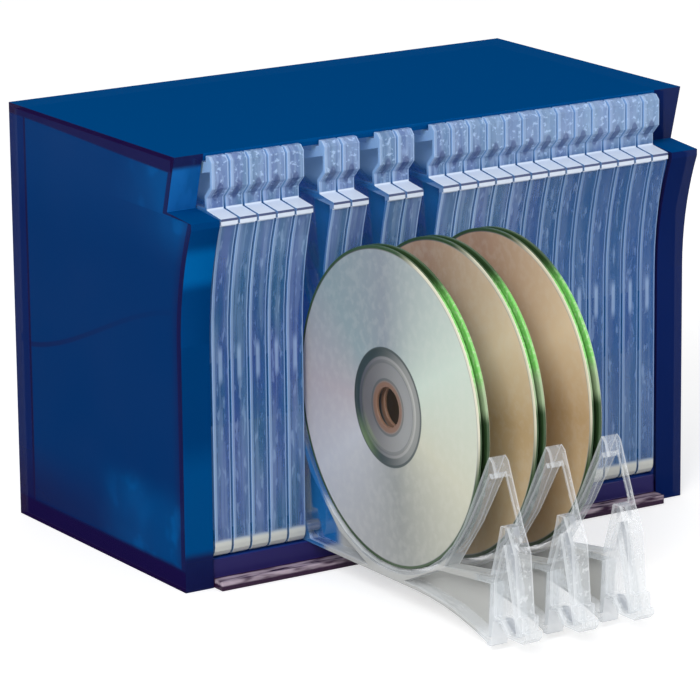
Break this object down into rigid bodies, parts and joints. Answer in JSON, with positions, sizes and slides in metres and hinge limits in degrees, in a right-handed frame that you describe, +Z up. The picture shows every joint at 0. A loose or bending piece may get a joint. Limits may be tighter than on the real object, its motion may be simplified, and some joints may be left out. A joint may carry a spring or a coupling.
{
  "type": "disc storage box",
  "caption": "Desktop storage box for compact discs: a translucent blue open-front case holds a row of clear trays that swing out on one rod, some open with discs.",
  "frame": {"origin": "middle of the underside of the case, on the surface it stands on", "axes": "+X to the right along the row of trays, -Y to the open front, +Z up"},
  "size_m": [0.2296, 0.2737, 0.166],
  "materials": {
    "blue_case": "translucent gloss",
    "clear_tray": "clear gloss",
    "rod_steel": "satin",
    "disc": "mirror-like silver"
  },
  "bodies": {
    "case": {"case_shell": "blue_case", "base_panel": "blue_case", "back_panel": "blue_case", "pivot_rod": "rod_steel"},
    "tray_01": {"tray_01": "clear_tray"},
    "tray_02": {"tray_02": "clear_tray"},
    "tray_03": {"tray_03": "clear_tray"},
    "tray_04": {"tray_04": "clear_tray"},
    "tray_05": {"tray_05": "clear_tray"},
    "tray_06": {"tray_06": "clear_tray"},
    "tray_07": {"tray_07": "clear_tray"},
    "tray_08": {"tray_08": "clear_tray"},
    "tray_09": {"tray_09": "clear_tray"},
    "tray_10": {"tray_10": "clear_tray"},
    "tray_11": {"tray_11": "clear_tray"},
    "tray_12": {"tray_12": "clear_tray"},
    "tray_13": {"tray_13": "clear_tray"},
    "tray_14": {"tray_14": "clear_tray"},
    "tray_15": {"tray_15": "clear_tray"},
    "tray_16": {"tray_16": "clear_tray"},
    "tray_17": {"tray_17": "clear_tray"},
    "tray_18": {"tray_18": "clear_tray"},
    "tray_19": {"tray_19": "clear_tray"},
    "tray_20": {"tray_20": "clear_tray"},
    "tray_21": {"tray_21": "clear_tray"},
    "tray_22": {"tray_22": "clear_tray"},
    "tray_23": {"tray_23": "clear_tray"},
    "tray_24": {"tray_24": "clear_tray"},
    "tray_25": {"tray_25": "clear_tray"},
    "disc_06_left": {"disc_06_left": "disc"},
    "disc_06_right": {"disc_06_right": "disc"},
    "disc_09_left": {"disc_09_left": "disc"},
    "disc_09_right": {"disc_09_right": "disc"},
    "disc_12_left": {"disc_12_left": "disc"},
    "disc_12_right": {"disc_12_right": "disc"}
  },
  "joints": [
    {"name": "tray_01_hinge", "type": "hinge", "parent": "case", "child": "tray_01", "pos_m": [-0.0978, -0.0605, 0.0155], "axis": [1, 0, 0], "range_deg": [0, 90]},
    {"name": "tray_02_hinge", "type": "hinge", "parent": "case", "child": "tray_02", "pos_m": [-0.08965, -0.0605, 0.0155], "axis": [1, 0, 0], "range_deg": [0, 90]},
    {"name": "tray_03_hinge", "type": "hinge", "parent": "case", "child": "tray_03", "pos_m": [-0.0815, -0.0605, 0.0155], "axis": [1, 0, 0], "range_deg": [0, 90]},
    {"name": "tray_04_hinge", "type": "hinge", "parent": "case", "child": "tray_04", "pos_m": [-0.07335, -0.0605, 0.0155], "axis": [1, 0, 0], "range_deg": [0, 90]},
    {"name": "tray_05_hinge", "type": "hinge", "parent": "case", "child": "tray_05", "pos_m": [-0.0652, -0.0605, 0.0155], "axis": [1, 0, 0], "range_deg": [0, 90]},
    {"name": "tray_06_hinge", "type": "hinge", "parent": "case", "child": "tray_06", "pos_m": [-0.05705, -0.0605, 0.0155], "axis": [1, 0, 0], "range_deg": [-90, 0]},
    {"name": "tray_07_hinge", "type": "hinge", "parent": "case", "child": "tray_07", "pos_m": [-0.0489, -0.0605, 0.0155], "axis": [1, 0, 0], "range_deg": [0, 90]},
    {"name": "tray_08_hinge", "type": "hinge", "parent": "case", "child": "tray_08", "pos_m": [-0.04075, -0.0605, 0.0155], "axis": [1, 0, 0], "range_deg": [0, 90]},
    {"name": "tray_09_hinge", "type": "hinge", "parent": "case", "child": "tray_09", "pos_m": [-0.0326, -0.0605, 0.0155], "axis": [1, 0, 0], "range_deg": [-90, 0]},
    {"name": "tray_10_hinge", "type": "hinge", "parent": "case", "child": "tray_10", "pos_m": [-0.02445, -0.0605, 0.0155], "axis": [1, 0, 0], "range_deg": [0, 90]},
    {"name": "tray_11_hinge", "type": "hinge", "parent": "case", "child": "tray_11", "pos_m": [-0.0163, -0.0605, 0.0155], "axis": [1, 0, 0], "range_deg": [0, 90]},
    {"name": "tray_12_hinge", "type": "hinge", "parent": "case", "child": "tray_12", "pos_m": [-0.00815, -0.0605, 0.0155], "axis": [1, 0, 0], "range_deg": [-90, 0]},
    {"name": "tray_13_hinge", "type": "hinge", "parent": "case", "child": "tray_13", "pos_m": [0, -0.0605, 0.0155], "axis": [1, 0, 0], "range_deg": [0, 90]},
    {"name": "tray_14_hinge", "type": "hinge", "parent": "case", "child": "tray_14", "pos_m": [0.00815, -0.0605, 0.0155], "axis": [1, 0, 0], "range_deg": [0, 90]},
    {"name": "tray_15_hinge", "type": "hinge", "parent": "case", "child": "tray_15", "pos_m": [0.0163, -0.0605, 0.0155], "axis": [1, 0, 0], "range_deg": [0, 90]},
    {"name": "tray_16_hinge", "type": "hinge", "parent": "case", "child": "tray_16", "pos_m": [0.02445, -0.0605, 0.0155], "axis": [1, 0, 0], "range_deg": [0, 90]},
    {"name": "tray_17_hinge", "type": "hinge", "parent": "case", "child": "tray_17", "pos_m": [0.0326, -0.0605, 0.0155], "axis": [1, 0, 0], "range_deg": [0, 90]},
    {"name": "tray_18_hinge", "type": "hinge", "parent": "case", "child": "tray_18", "pos_m": [0.04075, -0.0605, 0.0155], "axis": [1, 0, 0], "range_deg": [0, 90]},
    {"name": "tray_19_hinge", "type": "hinge", "parent": "case", "child": "tray_19", "pos_m": [0.0489, -0.0605, 0.0155], "axis": [1, 0, 0], "range_deg": [0, 90]},
    {"name": "tray_20_hinge", "type": "hinge", "parent": "case", "child": "tray_20", "pos_m": [0.05705, -0.0605, 0.0155], "axis": [1, 0, 0], "range_deg": [0, 90]},
    {"name": "tray_21_hinge", "type": "hinge", "parent": "case", "child": "tray_21", "pos_m": [0.0652, -0.0605, 0.0155], "axis": [1, 0, 0], "range_deg": [0, 90]},
    {"name": "tray_22_hinge", "type": "hinge", "parent": "case", "child": "tray_22", "pos_m": [0.07335, -0.0605, 0.0155], "axis": [1, 0, 0], "range_deg": [0, 90]},
    {"name": "tray_23_hinge", "type": "hinge", "parent": "case", "child": "tray_23", "pos_m": [0.0815, -0.0605, 0.0155], "axis": [1, 0, 0], "range_deg": [0, 90]},
    {"name": "tray_24_hinge", "type": "hinge", "parent": "case", "child": "tray_24", "pos_m": [0.08965, -0.0605, 0.0155], "axis": [1, 0, 0], "range_deg": [0, 90]},
    {"name": "tray_25_hinge", "type": "hinge", "parent": "case", "child": "tray_25", "pos_m": [0.0978, -0.0605, 0.0155], "axis": [1, 0, 0], "range_deg": [0, 90]},
    {"name": "disc_06_left_lift", "type": "slide", "parent": "tray_06", "child": "disc_06_left", "axis": [0, 0, 1], "range_m": [0, 0.06]},
    {"name": "disc_06_right_lift", "type": "slide", "parent": "tray_06", "child": "disc_06_right", "axis": [0, 0, 1], "range_m": [0, 0.06]},
    {"name": "disc_09_left_lift", "type": "slide", "parent": "tray_09", "child": "disc_09_left", "axis": [0, 0, 1], "range_m": [0, 0.06]},
    {"name": "disc_09_right_lift", "type": "slide", "parent": "tray_09", "child": "disc_09_right", "axis": [0, 0, 1], "range_m": [0, 0.06]},
    {"name": "disc_12_left_lift", "type": "slide", "parent": "tray_12", "child": "disc_12_left", "axis": [0, 0, 1], "range_m": [0, 0.06]},
    {"name": "disc_12_right_lift", "type": "slide", "parent": "tray_12", "child": "disc_12_right", "axis": [0, 0, 1], "range_m": [0, 0.06]}
  ]
}
